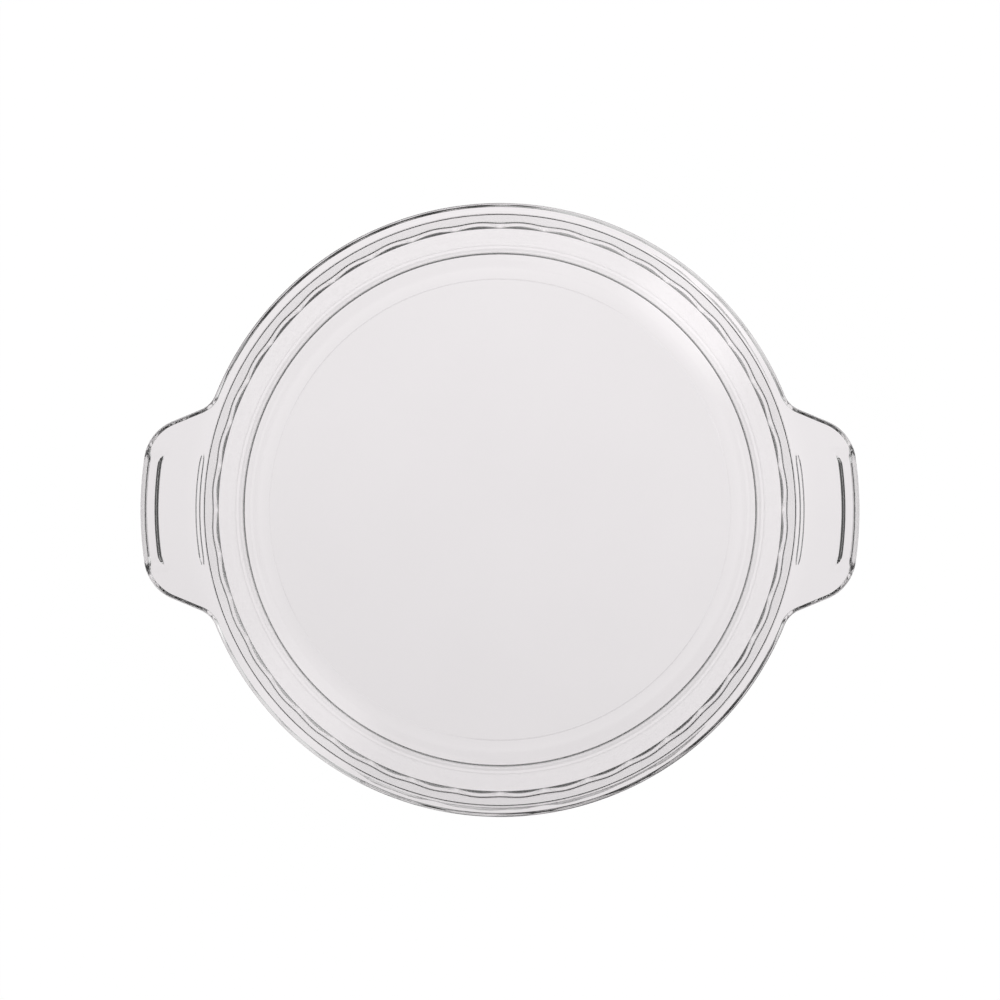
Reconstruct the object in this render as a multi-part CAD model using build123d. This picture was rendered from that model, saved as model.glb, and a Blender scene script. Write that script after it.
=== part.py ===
from build123d import *

import math
import os

# Pie dish of clear pressed glass: a round bowl with a fluted band inside its mouth, a flat rim and a handle at
# each end. Each zone of the pressing is a solid of its own, which meets its neighbours face to face.
# Millimetres and degrees. The origin is the middle of the foot, +Z is up, and the handles lie along X.

# Bowl, whose wall leans outwards and thins upwards. The mouth's radius is where the wall's inner face would reach
# the top if it had no flutes, and the neck's is where its outer face meets the plate.
dish_height = 44.5
mouth_radius = 122.74
wall_inner_lean = 17.48
neck_radius = 125.75
wall_outer_lean = 16.38
floor_thickness = 4.8
floor_fillet_radius = 8.5
heel_radius = 3.69
neck_fillet_radius = 2.4
neck_land = 0.1
mouth_fillet_radius = 1.13
wall_bottom_height = 12.0

# Foot, the flat ring that the dish stands on, round a slightly raised base
foot_ring_width = 9.68
base_recess_depth = 0.5

# Rim and handles, which are one plate whose side leans inwards to its underside
plate_thickness = 4.41
plate_side_draft = 24.3
plate_top_radius = 0.92
plate_low_radius = 0.4
rim_overhang = 4.35

# Flutes, scooped out of the inside of the wall below the mouth, each with a narrow ledge and a steep side
flute_count = 40
flute_drop = 8.76
flute_ledge_width = 1.22
flute_ledge_slope = 5.5
flute_side_draft = 4.5
flute_plan_radius = 33.4
flute_corner_radius = 0.25
flute_ridge_rise = 0.3
band_margin = 1.0

# Handle outline
handle_reach = 22.2
handle_root_half_width = 44.45
handle_side_angle = 22.5
handle_corner_radius = 19.5
handle_root_blend_radius = 11.0

# Grip lip, the tip of each handle turned down for the fingers
lip_depth = 2.8
lip_width = 7.9
lip_face_width = 2.9
lip_half_width = 27.0
lip_end_rise_width = 7.0
lip_corner_radius = 8.0

# Root lug, the low bead under each handle beside the neck
lug_middle_radius = 128.6
lug_width = 1.8
lug_depth = 0.9
lug_draft_angle = 20.0
lug_edge_radius = 0.3
lug_half_angle = 9.5

# Overrun of the cutting shapes past what they cut
overrun = 1.0


def inner_radius(height):
    """Radius of the wall's inner face at a height, without fillets or flutes."""
    return mouth_radius - math.tan(math.radians(wall_inner_lean)) * (dish_height - height)


def outer_radius(height):
    """Radius of the wall's outer face at a height, without fillets."""
    return neck_radius - math.tan(math.radians(wall_outer_lean)) * (plate_bottom - height)


def side_spread(rise):
    """How far a flute's steep side goes outwards over a rise."""
    return math.tan(math.radians(flute_side_draft)) * rise


def fillet_run(radius):
    """How far a fillet between the wall's outer face and a level face reaches along each of them."""
    return radius * math.tan(math.radians(90 - wall_outer_lean) / 2)


def edge_run(radius, corner_angle):
    """How far a fillet reaches from a corner of the given angle along each of its faces."""
    return radius / math.tan(math.radians(corner_angle) / 2)


plate_bottom = dish_height - plate_thickness
foot_outer_radius = outer_radius(0) - fillet_run(heel_radius)
foot_inner_radius = foot_outer_radius - foot_ring_width
rim_inner_radius = neck_radius + fillet_run(neck_fillet_radius) + neck_land
rim_radius = neck_radius + rim_overhang
plate_corner_gain = edge_run(plate_top_radius, 90 - plate_side_draft) - plate_top_radius
plate_side_run = math.tan(math.radians(plate_side_draft)) * plate_thickness
underside_inset = plate_side_run - plate_corner_gain + edge_run(plate_low_radius, 90 + plate_side_draft)
handle_tip_radius = rim_radius + handle_reach
lip_inner_reach = handle_tip_radius - lip_width
lug_outer_radius = lug_middle_radius + lug_width / 2
flute_bottom_height = dish_height - flute_drop
flute_axis_radius = inner_radius(flute_bottom_height) + flute_ledge_width - flute_plan_radius
band_bottom_height = flute_bottom_height - band_margin


def ring(low, high, outer, inner=0):
    """An upright cylinder from one height to another, hollow where it has an inner radius."""
    section = Circle(outer)
    if inner:
        section -= Circle(inner)
    return Pos(0, 0, low) * extrude(section, amount=high - low)


def sector(half_angle, low, high):
    """A wedge about +X that reaches past the handle, half_angle to each side."""
    reach = handle_tip_radius + overrun
    half_width = reach * math.tan(math.radians(half_angle))
    outline = Polyline((0, 0), (reach, -half_width), (reach, half_width), close=True)
    return Pos(0, 0, low) * extrude(make_face(outline), amount=high - low)


def half_turn(solid):
    """The same solid at the other end of the dish."""
    return Rot(0, 0, 180) * solid


def turned(section):
    """A solid turned about its own Z axis from a closed section of corners, each with its fillet radius."""
    corners = [corner for corner, radius in section]
    radii = [radius for corner, radius in section]
    outline = FilletPolyline(*corners, radius=radii, close=True)
    return revolve(Plane.XZ * make_face(outline), Axis.Z)


def bowl():
    """The bowl out to where the rim starts, turned from one section, before it is fluted."""
    ridge_height = flute_bottom_height + flute_ridge_rise
    ridge_radius = inner_radius(ridge_height)
    section = [
        ((0, base_recess_depth), 0),
        ((foot_inner_radius, base_recess_depth), 0),
        ((foot_inner_radius, 0), 0),
        ((outer_radius(0), 0), heel_radius),
        ((neck_radius, plate_bottom), neck_fillet_radius),
        ((rim_inner_radius, plate_bottom), 0),
        ((rim_inner_radius, dish_height), 0),
        ((ridge_radius + side_spread(dish_height - ridge_height), dish_height), 0),
        ((ridge_radius, ridge_height), 0),
        ((inner_radius(floor_thickness), floor_thickness), floor_fillet_radius),
        ((0, floor_thickness), 0),
    ]
    return turned(section)


def flute_cutter():
    """One flute on +X: a round scoop with a gently rising ledge, a steep side and a rounded mouth."""
    slope = math.tan(math.radians(flute_ledge_slope))
    ledge_height = flute_bottom_height + slope * flute_ledge_width
    mouth = flute_plan_radius + side_spread(dish_height - ledge_height)
    brim = mouth + mouth_fillet_radius + overrun
    section = [
        ((0, ledge_height - slope * flute_plan_radius), 0),
        ((flute_plan_radius, ledge_height), flute_corner_radius),
        ((mouth, dish_height), mouth_fillet_radius),
        ((brim, dish_height), 0),
        ((brim, dish_height + overrun), 0),
        ((0, dish_height + overrun), 0),
    ]
    return Pos(flute_axis_radius, 0, 0) * turned(section)


def flutes():
    """All flutes, the first half a step away from the handle's middle line."""
    step = 360 / flute_count
    cutter = flute_cutter()
    return [Rot(0, 0, step * (number + 1 / 2)) * cutter for number in range(flute_count)]


def plate_outline():
    """Plan of the rim with both handles, whose roots and corners are rounded."""
    root_along = math.sqrt(rim_radius**2 - handle_root_half_width**2)
    side_slope = math.tan(math.radians(handle_side_angle))
    far = handle_tip_radius + overrun
    middle_half_width = handle_root_half_width + side_slope * root_along
    far_half_width = middle_half_width - side_slope * far
    sides = Polyline(
        (far, far_half_width),
        (0, middle_half_width),
        (-far, far_half_width),
        (-far, -far_half_width),
        (0, -middle_half_width),
        (far, -far_half_width),
        close=True,
    )
    tip_arcs = Rot(0, 0, 90) * Circle(handle_tip_radius)
    outline = Circle(rim_radius) + (make_face(sides) & tip_arcs)
    halfway = rim_radius + handle_reach / 2
    roots = [v for v in outline.vertices() if math.hypot(v.X, v.Y) < halfway]
    outline = fillet(roots, handle_root_blend_radius)
    tips = [v for v in outline.vertices() if math.hypot(v.X, v.Y) > halfway]
    return fillet(tips, handle_corner_radius)


def plate():
    """Rim and handles as one plate with a drafted side and rounded edges, solid across the bowl's mouth."""
    top = offset(plate_outline(), plate_corner_gain)
    body = Pos(0, 0, dish_height) * extrude(top, amount=-plate_thickness, taper=plate_side_draft)
    body = fillet(body.edges().group_by(Axis.Z)[-1], plate_top_radius)
    return fillet(body.edges().group_by(Axis.Z)[0], plate_low_radius)


def rim_and_handles():
    """The plate outside the circle where the bowl ends."""
    return plate() - ring(plate_bottom - overrun, dish_height + overrun, rim_inner_radius)


def handle_wedge():
    """The wedge about +X that takes in the right handle with its root blends."""
    root = math.asin(handle_root_half_width / rim_radius)
    blend = handle_root_blend_radius / rim_radius
    return sector(math.degrees(root + blend), plate_bottom - overrun, dish_height + overrun)


def rear_rim(outer_plate):
    """The arc of rim on the +Y side, between the two handles."""
    behind = Pos(0, 0, plate_bottom) * Box(
        2 * handle_tip_radius,
        handle_tip_radius,
        plate_thickness,
        align=(Align.CENTER, Align.MIN, Align.MIN),
    )
    return (outer_plate & behind) - handle_wedge() - half_turn(handle_wedge())


def right_grip_lip():
    """A bar under the handle's tip with a sloping inner face, whose ends rise into the plate."""
    lip_bottom = plate_bottom - lip_depth
    flat_underside = offset(plate_outline(), -underside_inset)
    block = Pos(0, 0, lip_bottom) * extrude(flat_underside, amount=lip_depth)
    flat_half_width = lip_half_width - lip_end_rise_width
    front = Polyline(
        (-lip_half_width, plate_bottom),
        (-flat_half_width, lip_bottom),
        (flat_half_width, lip_bottom),
        (lip_half_width, plate_bottom),
        close=True,
    )
    span = extrude(Plane.YZ * make_face(front), amount=handle_tip_radius)
    finger_length = lip_inner_reach - lug_outer_radius
    opening = RectangleRounded(2 * finger_length, 2 * lip_half_width, lip_corner_radius)
    spread = math.degrees(math.atan2(lip_face_width, lip_depth))
    hollow = extrude(Plane.XY.rotated((180, 0, 0)) * opening, amount=lip_depth, taper=-spread)
    fingers = Pos(lug_outer_radius, 0, plate_bottom) * hollow
    inboard = ring(lip_bottom, plate_bottom, lug_outer_radius)
    return (block & span) - fingers - inboard


def right_root_lug():
    """A bead under the handle that runs round the neck, with drafted sides and rounded ends."""
    middle = CenterArc((0, 0), lug_middle_radius, -lug_half_angle, 2 * lug_half_angle)
    bead = extrude(SlotArc(middle, lug_width), amount=-lug_depth, taper=lug_draft_angle)
    bead = fillet(bead.edges().group_by(Axis.Z)[0], lug_edge_radius)
    return Pos(0, 0, plate_bottom) * bead


def solids():
    """Every solid of the dish by name."""
    body = bowl()
    band = body & ring(band_bottom_height, dish_height + overrun, rim_radius)
    outer_plate = rim_and_handles()
    handle = outer_plate & handle_wedge()
    rim_arc = rear_rim(outer_plate)
    lip = right_grip_lip()
    lug = right_root_lug()
    return {
        "base": body & ring(0, wall_bottom_height, foot_inner_radius),
        "foot_ring": body & ring(0, wall_bottom_height, foot_outer_radius, foot_inner_radius),
        "heel": body & ring(0, wall_bottom_height, rim_radius, foot_outer_radius),
        "side_wall": body & ring(wall_bottom_height, band_bottom_height, rim_radius),
        "fluted_band": band - flutes(),
        "rear_rim": rim_arc,
        "front_rim": half_turn(rim_arc),
        "right_handle": handle,
        "left_handle": half_turn(handle),
        "right_grip_lip": lip,
        "left_grip_lip": half_turn(lip),
        "right_root_lug": lug,
        "left_root_lug": half_turn(lug),
    }


os.makedirs("parts", exist_ok=True)
for name, solid in solids().items():
    export_step(solid, f"parts/{name}.step")
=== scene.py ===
import math

import bpy
import numpy as np
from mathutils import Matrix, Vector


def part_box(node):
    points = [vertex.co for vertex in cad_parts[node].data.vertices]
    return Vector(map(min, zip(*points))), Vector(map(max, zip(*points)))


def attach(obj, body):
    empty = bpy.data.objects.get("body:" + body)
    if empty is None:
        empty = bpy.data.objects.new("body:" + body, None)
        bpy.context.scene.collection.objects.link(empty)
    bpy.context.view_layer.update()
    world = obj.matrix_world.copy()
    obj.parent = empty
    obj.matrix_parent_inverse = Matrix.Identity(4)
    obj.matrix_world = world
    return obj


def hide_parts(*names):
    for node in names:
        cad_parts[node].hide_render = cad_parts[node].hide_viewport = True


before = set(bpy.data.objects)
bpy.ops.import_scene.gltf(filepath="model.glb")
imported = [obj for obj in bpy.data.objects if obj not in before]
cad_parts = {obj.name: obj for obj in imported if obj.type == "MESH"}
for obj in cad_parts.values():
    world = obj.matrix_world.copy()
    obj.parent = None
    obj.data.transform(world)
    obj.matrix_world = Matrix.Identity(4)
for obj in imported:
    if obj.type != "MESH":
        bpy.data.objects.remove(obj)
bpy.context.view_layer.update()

# Pie dish of clear pressed glass on a white table, seen straight from above.
# Metres and radians, in the CAD model's own frame: +Z up, the handles along X, the dish standing on Z = 0.
MM = 0.001

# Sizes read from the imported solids
dish_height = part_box("fluted_band")[1].z
rim_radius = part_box("rear_rim")[1].y
tip_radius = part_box("right_handle")[1].x
plate_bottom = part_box("right_handle")[0].z
base_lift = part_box("base")[0].z
floor_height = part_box("base")[1].z
lip_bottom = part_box("right_grip_lip")[0].z
lug_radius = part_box("right_root_lug")[1].x
lug_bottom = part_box("right_root_lug")[0].z

# Wall, heel and foot
wall_inner_lean = math.radians(17.48)
wall_foot_radius = 110.24 * MM
wall_outer_lean = math.radians(16.38)
floor_fillet = 8.5 * MM
heel_fillet = 3.69 * MM
foot_inner_radius = 101.5 * MM
foot_edge_round = 0.3 * MM
recess_ramp = 0.7 * MM
base_land = 4 * MM

# Neck, where the wall's outer face meets the plate of the rim and handles through a short steeper chamfer
neck_radius = 125.7 * MM
neck_chamfer_height = 1.2 * MM
neck_chamfer_lean = math.radians(24)
neck_fillet = 0.8 * MM
neck_land = 0.02 * MM
neck_seam = 0.3 * MM

# Mouth and the plate's leaning side with its rounded edges
mouth_fillet = 1.13 * MM
edge_draft = math.radians(24.3)
top_edge_round = 0.92 * MM
low_edge_round = 0.4 * MM

# Flutes
flute_count = 40
flute_ledge_height = 35.74 * MM
flute_ledge_slope = math.radians(5.5)
flute_crest = 1.22 * MM
flute_valley = 0.23 * MM
flute_crest_at_mouth = 1.65 * MM
flute_valley_at_mouth = 1.22 * MM
flute_corner = 0.25 * MM
flute_corner_share = 0.6
flute_foot_share = 0.1
scallop_share = 0.8

# Handle outline
root_half_width = 44.45 * MM
side_angle = math.radians(22.5)
corner_radius = 19.5 * MM
root_blend = 11.0 * MM

# Grip lip, turned down at the tip of each handle
lip_width = 7.9 * MM
lip_face = 2.9 * MM
lip_flat_half = 20.0 * MM
lip_half = 27.0 * MM
lip_bend = 8.0 * MM

# Root lug, a low bead with rounded ends under each handle
lug_half_width = 1.25 * MM
lug_least_half_width = 0.01 * MM
lug_flat_share = 0.25
lug_half_angle = math.radians(10.6)
lug_end_angle = math.radians(2.4)

# Flow marks, uneven ridges under the rim beside the neck. Each stretch has its first and last compass
# degree, the degrees over which it grows and dies away, and its share of the full width.
mark_radius = 126.4 * MM
mark_width = 1.35 * MM
mark_slope = math.radians(46)
mark_stretches = (
    (238, 316, 6, 9, 1),
    (23, 61, 8, 8, 0.7),
)
mark_even_share = 0.8
mark_slow_share = 0.25
mark_slow_waves = 19
mark_slow_phase = 1
mark_quick_share = 0.2
mark_quick_waves = 43
mark_beat_waves = 7
mark_beat_phase = 2

# Points round the dish, and rings over each fillet
around = 880
floor_fillet_rings = 9
flute_foot_rings = 3
flute_corner_rings = 5
mouth_rings = 10
top_edge_rings = 8
low_edge_rings = 5
neck_rings = 7
heel_rings = 10
foot_edge_rings = 3
cap_ring_share = 0.72
cap_least_points = 15

# Rings along the straight stretches: shares of a stretch, the lug's in half widths from its inner edge
wall_shares = (0.25, 0.5, 0.75)
flute_shares = (0.25, 0.45, 0.65)
plate_shares = (0.2, 0.5, 0.95)
underside_shares = (1, 0.95, 0.9, 0.87, 0.84, 0.81, 0.78, 0.75, 0.72, 0.6, 0.5, 0.4, 0.3, 0.2)
lug_shares = (2, 1.85, 1.7, 1.55, 1.4, 1.25, 1, 0.75, 0.6, 0.45, 0.3, 0.15, 0)
chamfer_share = 0.5
outer_wall_drops = (12 * MM, 25 * MM)

# Glass
glass_ior = 1.47
glass_absorption = 1.2
# Base colour range of the glass: random streaking in its own tone, held below white as painted shade that
# stands in for the dish's shadow on the table seen through it
glass_shade_tone_low = 0.89
glass_shade_tone_high = 0.925
streak_scale = 18
streak_detail = 5
wave_scale = 45
wave_detail = 2
wave_height = 0.03 * MM

# Pool of light on the table, long across the dish and a little brighter to the right and the rear
floor_radius = 3
floor_corners = 96
floor_gap = 0.05 * MM
lit_way = (math.cos(math.radians(45)), math.sin(math.radians(45)), 0)
dark_way = (-lit_way[1], lit_way[0], 0)
pool_squash = 0.35
pool_full = 142 * MM
pool_gone = 170 * MM
pool_level = 0.945
pool_rise = (0.1, 0.56, 0)
pool_least = 0.05
pool_tint = (1, 0.965, 0.98, 1)

# Two brighter spots where the soft boxes shine past the dish, each with its side and gain, and a ring
# round the foot
spots = ((1, 0.14), (-1, 0.06))
spot_half_full = 12 * MM
spot_half_gone = 45 * MM
spot_full = 118 * MM
spot_gone = 98 * MM
# The ring is painted light: a faint brightening of the table round the foot, seen only through the glass
ring_gain = 0.03
ring_full = 107 * MM
ring_gone = 100 * MM
ring_outer_full = 130 * MM
ring_outer_gone = 140 * MM

# White that the camera sees, and the small share of plain cloth that keeps the dish's shadow
white_level = 1.04
cloth_share = 0.05
cloth_color = (0.9, 0.9, 0.9, 1)

# Studio round the table. Each soft box or card has its compass angle and half width in degrees, its foot
# and head as sines of the elevation, and its strength.
studio_level = 0.03
cards = (
    (50, 32, -0.2, 0.35, 0.6),
    (236, 34, -0.2, 0.35, 0.6),
    (38, 20, 0.35, 0.85, 0.8),
    (234, 26, 0.35, 0.85, 0.7),
    (176, 22, 0.37, 0.6, 0.9),
    (355, 24, 0.37, 0.6, 0.9),
)
card_side_in = 6
card_side_out = 8
card_foot_blur = 0.05
card_head_blur = 0.06
ceiling_strength = 0.5
ceiling_full = 0.97
ceiling_gone = 0.85

# Camera, with the dish's middle a few of the photograph's pixels below the picture's
picture_pixels = 1000
picture_width = 423.3 * MM
dish_drop_pixels = 10
lens_length = 100
sensor_width = 36
clip_start = 0.01

# Light goes round inside thick clear glass many times before it comes out
most_bounces = 48
most_glass_bounces = 32


def smooth(value):
    """Runs smoothly from 0 to 1 as value does, and stays level outside that."""
    held = np.clip(value, 0, 1)
    return held * held * (3 - 2 * held)


def inner_radius(height):
    """Radius of the wall's inner face at a height."""
    return wall_foot_radius + math.tan(wall_inner_lean) * (height - floor_height)


def outer_radius(height):
    """Radius of the wall's outer face at a height, with the chamfer just below the plate."""
    chamfer_foot = plate_bottom - neck_chamfer_height
    wall = neck_radius - math.tan(wall_outer_lean) * (plate_bottom - min(height, chamfer_foot))
    return wall + math.tan(neck_chamfer_lean) * max(height - chamfer_foot, 0)


def rounded(before, corner, after, radius, count):
    """Section points (radius, height) of a fillet at a corner between two others."""
    corner = np.stack(np.broadcast_arrays(*corner, 0.0 * radius)[:2])
    back = np.stack(np.broadcast_arrays(*before, 0.0 * radius)[:2]) - corner
    ahead = np.stack(np.broadcast_arrays(*after, 0.0 * radius)[:2]) - corner
    back = back / np.linalg.norm(back, axis=0)
    ahead = ahead / np.linalg.norm(ahead, axis=0)
    half = np.arccos(np.clip((back * ahead).sum(axis=0), -1, 1)) / 2
    middle = back + ahead
    centre = corner + middle / np.linalg.norm(middle, axis=0) * radius / np.sin(half)
    first = corner + back * radius / np.tan(half) - centre
    last = corner + ahead * radius / np.tan(half) - centre
    sweep = math.pi - 2 * half
    points = []
    for share in np.linspace(0, 1, count):
        weight = np.sin((1 - share) * sweep), np.sin(share * sweep)
        points.append(centre + (first * weight[0] + last * weight[1]) / np.sin(sweep))
    return points


def bearing(theta):
    """Angle from the nearer handle's middle line, never negative."""
    return np.abs(np.arctan2(np.sin(theta), np.abs(np.cos(theta))))


def on_circle(ray, centre, radius, sign):
    """How far along each ray it meets a circle, at the near (-1) or the far (1) side."""
    middle = centre @ ray
    return middle + sign * np.sqrt(np.maximum(radius**2 - centre @ centre + middle**2, 0))


def handle_centres():
    """Plan centres of a handle's corner and root blend, the way across its side, and how far out that is."""
    along = np.array([math.cos(side_angle), -math.sin(side_angle)])
    across = np.array([math.sin(side_angle), math.cos(side_angle)])
    root = np.array([math.sqrt(rim_radius**2 - root_half_width**2), root_half_width])
    side = across @ root
    blend_run = math.sqrt((rim_radius + root_blend) ** 2 - (side + root_blend) ** 2)
    blend = across * (side + root_blend) + along * blend_run
    corner_run = math.sqrt((tip_radius - corner_radius) ** 2 - (side - corner_radius) ** 2)
    corner = across * (side - corner_radius) + along * corner_run
    return corner, blend, across, side


def outline_points(theta):
    """Plan points of the dish's outer edge along the angles theta, and the outward normal at each."""
    corner, blend, across, side = handle_centres()
    turned = bearing(theta)
    ray = np.stack([np.cos(turned), np.sin(turned)])
    joints = [corner, corner + across * corner_radius, blend - across * root_blend, blend]
    stretch = np.searchsorted([math.atan2(joint[1], joint[0]) for joint in joints], turned)
    stretches = [stretch == number for number in range(len(joints))]
    radius = np.select(
        stretches,
        [
            np.full_like(turned, tip_radius),
            on_circle(ray, corner, corner_radius, 1),
            side / np.maximum(across @ ray, math.sin(side_angle) / 2),
            on_circle(ray, blend, root_blend, -1),
        ],
        rim_radius,
    )
    point = ray * radius
    level = np.broadcast_to(across[:, None], point.shape)
    normal = np.select(stretches, [point, point - corner[:, None], level, blend[:, None] - point], point)
    normal = normal / np.linalg.norm(normal, axis=0)
    flip = np.stack([np.where(np.cos(theta) < 0, -1, 1), np.where(np.sin(theta) < 0, -1, 1)])
    return point * flip, normal * flip


def lip_depth_at(x, y):
    """How far the grip lips hang below the plate at a plan place."""
    past = np.clip(np.abs(y) - (lip_half - lip_bend), 0, lip_bend)
    drawn_in = lip_bend - np.sqrt(np.maximum(lip_bend**2 - past**2, 0))
    ramp = (np.hypot(x, y) + drawn_in - (tip_radius - lip_width)) / lip_face
    ends = (lip_half - np.abs(y)) / (lip_half - lip_flat_half)
    return (plate_bottom - lip_bottom) * smooth(ramp) * smooth(ends) * (np.abs(x) > rim_radius)


def lug_depth_at(x, y):
    """How far the root lugs hang below the plate at a plan place."""
    turned = bearing(np.arctan2(y, x))
    end = np.clip((turned - lug_half_angle + lug_end_angle) / lug_end_angle, 0, 1)
    half_width = lug_half_width * np.sqrt(1 - end**2) + lug_least_half_width
    away = np.abs(np.hypot(x, y) - lug_radius + lug_half_width) / half_width
    flank = np.clip((away - lug_flat_share) / (1 - lug_flat_share), 0, 1)
    bump = (1 + np.cos(math.pi * flank)) / 2
    return (plate_bottom - lug_bottom) * bump * (turned < lug_half_angle)


def mark_depth_at(x, y):
    """How far the flow marks hang below the plate at a plan place."""
    compass = np.degrees(np.arctan2(y, x)) % 360
    reach = 0
    for first, last, growth, decay, share in mark_stretches:
        reach = reach + share * smooth((compass - first) / growth) * smooth((last - compass) / decay)
    turn = np.radians(compass)
    slow = mark_slow_share * np.sin(mark_slow_waves * turn + mark_slow_phase)
    beat = np.sin(mark_beat_waves * turn + mark_beat_phase)
    quick = mark_quick_share * np.sin(mark_quick_waves * turn) * beat
    width = mark_width * reach * np.clip(mark_even_share + slow + quick, 0, 1)
    return math.tan(mark_slope) * np.maximum(width + mark_radius - np.hypot(x, y), 0)


def flute_places(theta):
    """How far the flutes reach out of the wall, at their ledge and at the mouth."""
    turn = (theta * flute_count / (2 * math.pi)) % 1
    scallop = 1 - (2 * turn - 1) ** 2
    wave = (1 - np.cos(2 * math.pi * turn)) / 2
    cut = scallop_share * scallop + (1 - scallop_share) * wave
    at_ledge = flute_valley + (flute_crest - flute_valley) * cut
    at_mouth = flute_valley_at_mouth + (flute_crest_at_mouth - flute_valley_at_mouth) * wave
    return at_ledge, at_mouth


def edge_rounds():
    """The rounded top and bottom of the plate's side, as how far out from the outline and the height."""
    gain = top_edge_round * ((1 + math.sin(edge_draft)) / math.cos(edge_draft) - 1)
    top_corner = (gain, dish_height)
    low_corner = (gain - math.tan(edge_draft) * (dish_height - plate_bottom), plate_bottom)
    top = rounded((-rim_radius, dish_height), top_corner, low_corner, top_edge_round, top_edge_rings)
    low = rounded(top_corner, low_corner, (-rim_radius, plate_bottom), low_edge_round, low_edge_rings)
    return top, low


class Shell:
    """The rings of points over the whole closed surface, from the floor up, over the rim and back under."""

    def __init__(self, theta):
        """Gathers the rings of each stretch in order, along the angles theta."""
        self.flat = np.zeros_like(theta)
        self.unit = np.stack([np.cos(theta), np.sin(theta)])
        self.edge, self.normal = outline_points(theta)
        self.rings = []
        mouth_end = self.add_inside(*flute_places(theta))
        self.add_plate_top(mouth_end)
        self.add_underside()
        self.add_outside()

    def add(self, plan, height):
        """One ring at plan places, at one height or at many."""
        self.rings.append(np.stack([plan[0], plan[1], height + self.flat]))

    def add_turned(self, radius, height):
        """One ring at a radius, or at many."""
        self.add(radius * self.unit, height)

    def add_fillet(self, before, corner, after, radius, count):
        """The rings of a fillet at a corner of the section."""
        for point in rounded(before, corner, after, radius + self.flat, count):
            self.add_turned(point[0], point[1])

    def add_inside(self, at_ledge, at_mouth):
        """Floor, wall, flutes and mouth. Returns where the mouth's fillet ends."""
        centre = (0, floor_height)
        wall_foot = (wall_foot_radius, floor_height)
        wall_top = (inner_radius(flute_ledge_height), flute_ledge_height)
        ledge_back = (
            wall_top[0] + at_ledge,
            flute_ledge_height + math.tan(flute_ledge_slope) * at_ledge,
        )
        mouth = (wall_top[0] + at_mouth, dish_height)
        corner_round = np.minimum(flute_corner_share * at_ledge, flute_corner)
        self.add_turned(wall_foot_radius - 2 * floor_fillet, floor_height)
        self.add_fillet(centre, wall_foot, wall_top, floor_fillet, floor_fillet_rings)
        for share in wall_shares:
            height = floor_height + (flute_ledge_height - floor_height) * share
            self.add_turned(inner_radius(height), height)
        self.add_fillet(wall_foot, wall_top, ledge_back, flute_foot_share * at_ledge, flute_foot_rings)
        self.add_fillet(wall_top, ledge_back, mouth, corner_round, flute_corner_rings)
        for share in flute_shares:
            radius, height = (low + (high - low) * share for low, high in zip(ledge_back, mouth))
            self.add_turned(radius, height)
        self.add_fillet(ledge_back, mouth, (rim_radius, dish_height), mouth_fillet, mouth_rings)
        return mouth[0] + mouth_fillet

    def add_plate_top(self, mouth_end):
        """Flat top of the rim and handles, and the leaning side with its rounded edges."""
        top, low = edge_rounds()
        brow = self.edge + float(top[0][0]) * self.normal
        for share in plate_shares:
            self.add(mouth_end * self.unit * (1 - share) + brow * share, dish_height)
        for point in top + [(top[-1] + low[0]) / 2] + low[:-1]:
            self.add(self.edge + float(point[0]) * self.normal, float(point[1]))

    def add_underside(self):
        """Underside of the plate from its edge in to the neck, with the lips, lugs and flow marks."""
        inset = float(edge_rounds()[1][-1][0])
        low_edge = self.edge + inset * self.normal
        neck_turn = (math.pi / 2 - neck_chamfer_lean) / 2
        neck_end = outer_radius(plate_bottom) + neck_fillet * math.tan(neck_turn) + neck_land
        bead = lug_radius - 2 * lug_half_width - neck_end
        plate_run = tip_radius + inset - neck_end
        near_shares = tuple((bead + lug_half_width * share) / plate_run for share in lug_shares)
        for share in underside_shares + near_shares + (0,):
            plan = neck_end * self.unit * (1 - share) + low_edge * share
            hang = lip_depth_at(*plan) + lug_depth_at(*plan) + mark_depth_at(*plan)
            self.add(plan, plate_bottom - hang)

    def add_outside(self):
        """Neck under the plate, the wall below it, the heel, the foot and the step up to the base."""
        chamfer_foot = plate_bottom - neck_chamfer_height
        neck = (outer_radius(plate_bottom), plate_bottom)
        chamfer_end = (outer_radius(chamfer_foot), chamfer_foot)
        wall_line = (neck_radius, plate_bottom)
        heel = (outer_radius(0), 0)
        foot = (foot_inner_radius, 0)
        recess = (foot_inner_radius - recess_ramp, base_lift)
        self.add_fillet((rim_radius, plate_bottom), neck, chamfer_end, neck_fillet, neck_rings)
        chamfer_drops = (neck_chamfer_height * chamfer_share, neck_chamfer_height)
        for drop in chamfer_drops + (neck_chamfer_height + neck_seam,) + outer_wall_drops:
            self.add_turned(outer_radius(plate_bottom - drop), plate_bottom - drop)
        self.add_fillet(wall_line, heel, foot, heel_fillet, heel_rings)
        self.add_fillet(heel, foot, recess, foot_edge_round, foot_edge_rings)
        self.add_fillet(foot, recess, (0, base_lift), foot_edge_round, foot_edge_rings)
        self.add_turned(foot_inner_radius - base_land, base_lift)


def add_ring(verts, ring):
    """Appends a ring's points and returns their numbers."""
    first = len(verts)
    verts.extend(map(tuple, ring.T))
    return list(range(first, first + ring.shape[1]))


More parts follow.
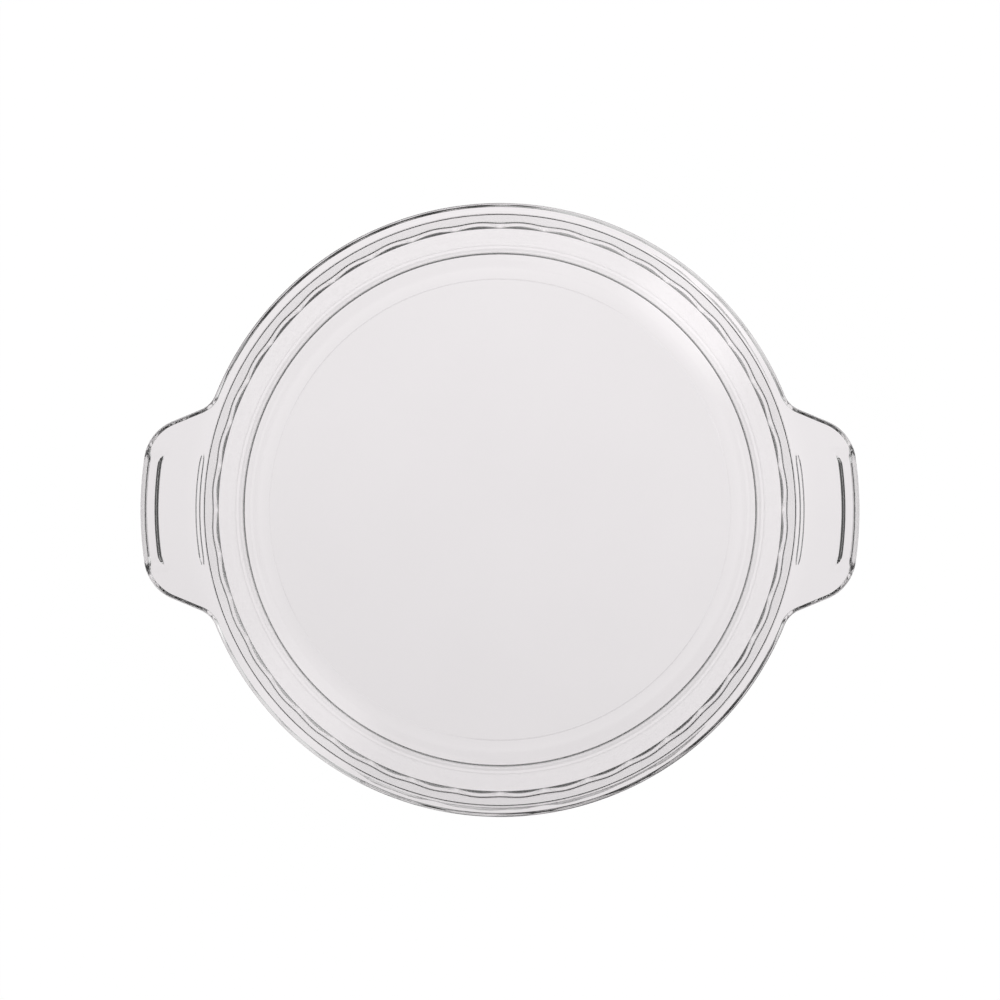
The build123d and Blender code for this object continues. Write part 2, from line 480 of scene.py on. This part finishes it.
def add_cap(verts, faces, ring, radius, height, upward):
    """Closes a ring over a flat disc with rings of half as many points each, down to a small polygon."""
    count = len(ring)
    outer = ring
    while count % 2 == 0 and count > cap_least_points:
        count //= 2
        radius *= cap_ring_share
        theta = np.arange(count) * 2 * math.pi / count
        points = np.stack([radius * np.cos(theta), radius * np.sin(theta), height + 0 * theta])
        inner = add_ring(verts, points)
        for i in range(count):
            j = (i + 1) % count
            a, b, c = outer[2 * i], outer[2 * i + 1], outer[(2 * i + 2) % len(outer)]
            for face in ([inner[i], a, b], [inner[i], b, inner[j]], [inner[j], b, c]):
                faces.append(face if upward else face[::-1])
        outer = inner
    faces.append(outer if upward else outer[::-1])


def set_normals(mesh):
    """Leans every vertex's normal to its largest faces, so that flat stretches stay flat beside fillets."""
    normals = np.zeros((len(mesh.vertices), 3))
    for face in mesh.polygons:
        normals[list(face.vertices)] += np.array(face.normal) * (face.area / MM**2) ** 2
    normals /= np.linalg.norm(normals, axis=1)[:, None]
    mesh.normals_split_custom_set_from_vertices(normals.tolist())


def dish_mesh():
    """The whole pressing as one closed mesh."""
    rings = Shell(np.arange(around) * 2 * math.pi / around).rings
    verts = []
    faces = []
    numbers = [add_ring(verts, ring) for ring in rings]
    for low, high in zip(numbers[:-1], numbers[1:]):
        for i in range(around):
            j = (i + 1) % around
            faces.append([low[i], high[i], high[j], low[j]])
    add_cap(verts, faces, numbers[0], float(rings[0][0][0]), floor_height, True)
    add_cap(verts, faces, numbers[-1], float(rings[-1][0][0]), base_lift, False)
    mesh = bpy.data.meshes.new("pressed_glass_dish")
    mesh.from_pydata(verts, [], faces)
    mesh.validate()
    mesh.polygons.foreach_set("use_smooth", [True] * len(mesh.polygons))
    mesh.update()
    set_normals(mesh)
    return mesh


def math_node(tree, operation, *values):
    """A Math node with its inputs linked or set, and its output."""
    node = tree.nodes.new("ShaderNodeMath")
    node.operation = operation
    for socket, value in zip(node.inputs, values):
        if isinstance(value, bpy.types.NodeSocket):
            tree.links.new(value, socket)
        else:
            socket.default_value = value
    return node.outputs[0]


def dot_node(tree, vector, direction):
    """How far a vector runs along a direction."""
    node = tree.nodes.new("ShaderNodeVectorMath")
    node.operation = "DOT_PRODUCT"
    tree.links.new(vector, node.inputs[0])
    node.inputs[1].default_value = direction
    return node.outputs["Value"]


def length_node(tree, *ways):
    """Length of a vector whose parts are given."""
    squares = [math_node(tree, "MULTIPLY", way, way) for way in ways]
    return math_node(tree, "SQRT", math_node(tree, "ADD", *squares))


def noise_node(tree, place, scale, detail):
    """Even three-dimensional noise at a place."""
    node = tree.nodes.new("ShaderNodeTexNoise")
    node.inputs["Scale"].default_value = scale
    node.inputs["Detail"].default_value = detail
    tree.links.new(place, node.inputs["Vector"])
    return node.outputs["Fac"]


def falloff(tree, value, full, gone):
    """Runs smoothly from 1 where value is at full to 0 where it is at gone."""
    node = tree.nodes.new("ShaderNodeMapRange")
    node.interpolation_type = "SMOOTHSTEP"
    node.inputs["From Min"].default_value = min(full, gone)
    node.inputs["From Max"].default_value = max(full, gone)
    node.inputs["To Min"].default_value = 1 if gone > full else 0
    node.inputs["To Max"].default_value = 0 if gone > full else 1
    tree.links.new(value, node.inputs["Value"])
    return node.outputs["Result"]


def emission(tree, kind, color, strength):
    """A glowing shader, for a surface or a world, with its strength linked or set."""
    node = tree.nodes.new(kind)
    node.inputs["Color"].default_value = color
    if isinstance(strength, bpy.types.NodeSocket):
        tree.links.new(strength, node.inputs["Strength"])
    else:
        node.inputs["Strength"].default_value = strength
    return node.outputs[0]


def mixed(tree, share, first, second):
    """Two shaders mixed by a share."""
    node = tree.nodes.new("ShaderNodeMixShader")
    for socket, value in zip(node.inputs, (share, first, second)):
        tree.links.new(value, socket)
    return node.outputs[0]


def add_glass_detail(tree, shader):
    """Slow waves left by the pressing, faint cloudy streaking in the melt, and a base colour held below
    white as painted shade, standing in for the dish's shadow on the table seen through the glass.
    """
    place = tree.nodes.new("ShaderNodeTexCoord").outputs["Object"]
    bump = tree.nodes.new("ShaderNodeBump")
    bump.inputs["Strength"].default_value = 1
    bump.inputs["Distance"].default_value = wave_height
    tree.links.new(noise_node(tree, place, wave_scale, wave_detail), bump.inputs["Height"])
    tree.links.new(bump.outputs["Normal"], shader.inputs["Normal"])
    # Base colour: random streaking, held below white as painted shade of the dish's shadow on the table seen
    # through the glass
    streaks_and_shade = tree.nodes.new("ShaderNodeMapRange")
    streaks_and_shade.inputs["To Min"].default_value = glass_shade_tone_low
    streaks_and_shade.inputs["To Max"].default_value = glass_shade_tone_high
    tree.links.new(noise_node(tree, place, streak_scale, streak_detail), streaks_and_shade.inputs["Value"])
    tree.links.new(streaks_and_shade.outputs["Result"], shader.inputs["Base Color"])


def glass_material():
    """Clear pressed glass that dims light a little along its way."""
    material = bpy.data.materials.new("clear_pressed_glass")
    material.use_nodes = True
    tree = material.node_tree
    shader = tree.nodes["Principled BSDF"]
    shader.inputs["Transmission Weight"].default_value = 1
    shader.inputs["Roughness"].default_value = 0
    shader.inputs["IOR"].default_value = glass_ior
    add_glass_detail(tree, shader)
    haze = tree.nodes.new("ShaderNodeVolumeAbsorption")
    haze.inputs["Color"].default_value = (0, 0, 0, 1)
    haze.inputs["Density"].default_value = glass_absorption
    tree.links.new(haze.outputs[0], tree.nodes["Material Output"].inputs["Volume"])
    return material


def build_dish():
    """The visible glass, in place of every CAD solid."""
    dish = bpy.data.objects.new("pressed_glass_dish", dish_mesh())
    bpy.context.scene.collection.objects.link(dish)
    dish.data.materials.append(glass_material())
    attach(dish, "root")
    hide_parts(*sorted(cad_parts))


def pool_of_light(tree):
    """Brightness of the table at each place: the pool, its brighter spots and the ring round the foot."""
    place = tree.nodes.new("ShaderNodeTexCoord").outputs["Object"]
    along = dot_node(tree, place, lit_way)
    across = dot_node(tree, place, dark_way)
    reach = length_node(tree, math_node(tree, "MULTIPLY", along, pool_squash), across)
    level = math_node(tree, "ADD", dot_node(tree, place, pool_rise), pool_level)
    width = falloff(tree, math_node(tree, "ABSOLUTE", across), spot_half_full, spot_half_gone)
    for side, gain in spots:
        past = falloff(tree, math_node(tree, "MULTIPLY", along, side), spot_full, spot_gone)
        spot = math_node(tree, "MULTIPLY", math_node(tree, "MULTIPLY", width, past), gain)
        level = math_node(tree, "ADD", level, spot)
    radius = length_node(tree, along, across)
    inner = falloff(tree, radius, ring_full, ring_gone)
    outer = falloff(tree, radius, ring_outer_full, ring_outer_gone)
    ring = math_node(tree, "MULTIPLY", math_node(tree, "MULTIPLY", inner, outer), ring_gain)
    level = math_node(tree, "ADD", level, ring)
    pool = math_node(tree, "MULTIPLY", falloff(tree, reach, pool_full, pool_gone), level)
    return math_node(tree, "MAXIMUM", pool, pool_least)


def floor_material():
    """White to the camera, the pool of light in and through the glass, and plain cloth for the rest."""
    material = bpy.data.materials.new("studio_floor")
    material.use_nodes = True
    tree = material.node_tree
    tree.nodes.clear()
    lit = emission(tree, "ShaderNodeEmission", pool_tint, pool_of_light(tree))
    white = emission(tree, "ShaderNodeEmission", (1, 1, 1, 1), white_level)
    path = tree.nodes.new("ShaderNodeLightPath")
    glow = mixed(tree, path.outputs["Is Camera Ray"], lit, white)
    cloth = tree.nodes.new("ShaderNodeBsdfDiffuse")
    cloth.inputs["Color"].default_value = cloth_color
    seen = math_node(tree, "MAXIMUM", path.outputs["Is Camera Ray"], path.outputs["Is Glossy Ray"])
    seen = math_node(tree, "MAXIMUM", seen, path.outputs["Is Transmission Ray"])
    seen = math_node(tree, "MULTIPLY", seen, 1 - cloth_share)
    out = tree.nodes.new("ShaderNodeOutputMaterial")
    tree.links.new(mixed(tree, seen, cloth.outputs[0], glow), out.inputs["Surface"])
    return material


def build_floor():
    """The table, a hair below the foot."""
    bpy.ops.mesh.primitive_circle_add(
        vertices=floor_corners,
        radius=floor_radius,
        fill_type="NGON",
        location=(0, 0, -floor_gap),
    )
    floor = bpy.context.active_object
    floor.name = "studio_floor"
    floor.data.materials.append(floor_material())


def level_direction(tree, way):
    """A way laid level and brought to length 1."""
    flat = tree.nodes.new("ShaderNodeVectorMath")
    flat.operation = "MULTIPLY"
    tree.links.new(way, flat.inputs[0])
    flat.inputs[1].default_value = (1, 1, 0)
    unit = tree.nodes.new("ShaderNodeVectorMath")
    unit.operation = "NORMALIZE"
    tree.links.new(flat.outputs["Vector"], unit.inputs[0])
    return unit.outputs["Vector"]


def card_light(tree, level_way, up, compass, half, foot, head, strength):
    """Light of one soft box or card, soft at its edges."""
    angle = math.radians(compass)
    facing = dot_node(tree, level_way, (math.cos(angle), math.sin(angle), 0))
    side_full = math.cos(math.radians(half - card_side_in))
    side_gone = math.cos(math.radians(half + card_side_out))
    box = falloff(tree, facing, side_full, side_gone)
    for end, blur in ((foot, card_foot_blur), (head, -card_head_blur)):
        box = math_node(tree, "MULTIPLY", box, falloff(tree, up, end + blur, end - blur))
    return math_node(tree, "MULTIPLY", box, strength)


def build_world():
    """White for the camera, and a plain soft studio with light and dark sides for the rest."""
    world = bpy.data.worlds.new("studio")
    bpy.context.scene.world = world
    world.use_nodes = True
    tree = world.node_tree
    tree.nodes.clear()
    way = tree.nodes.new("ShaderNodeTexCoord").outputs["Generated"]
    up = dot_node(tree, way, (0, 0, 1))
    level_way = level_direction(tree, way)
    level = studio_level
    for card in cards:
        level = math_node(tree, "ADD", card_light(tree, level_way, up, *card), level)
    ceiling = falloff(tree, up, ceiling_full, ceiling_gone)
    level = math_node(tree, "ADD", math_node(tree, "MULTIPLY", ceiling, ceiling_strength), level)
    room = emission(tree, "ShaderNodeBackground", (1, 1, 1, 1), level)
    white = emission(tree, "ShaderNodeBackground", (1, 1, 1, 1), 1)
    path = tree.nodes.new("ShaderNodeLightPath")
    out = tree.nodes.new("ShaderNodeOutputWorld")
    tree.links.new(mixed(tree, path.outputs["Is Camera Ray"], room, white), out.inputs["Surface"])


def build_camera():
    """Straight down over the dish, with the photograph's framing at the height of the rim."""
    camera = bpy.data.cameras.new("camera")
    camera.lens = lens_length
    camera.sensor_width = sensor_width
    camera.clip_start = clip_start
    distance = picture_width * lens_length / sensor_width
    viewer = bpy.data.objects.new("camera", camera)
    viewer.location = (0, dish_drop_pixels * picture_width / picture_pixels, dish_height + distance)
    bpy.context.scene.collection.objects.link(viewer)
    bpy.context.scene.camera = viewer


build_camera()
build_world()
build_floor()
build_dish()

scene = bpy.context.scene
scene.view_settings.view_transform = "Standard"
scene.cycles.max_bounces = most_bounces
scene.cycles.transmission_bounces = most_glass_bounces
scene.cycles.glossy_bounces = most_glass_bounces
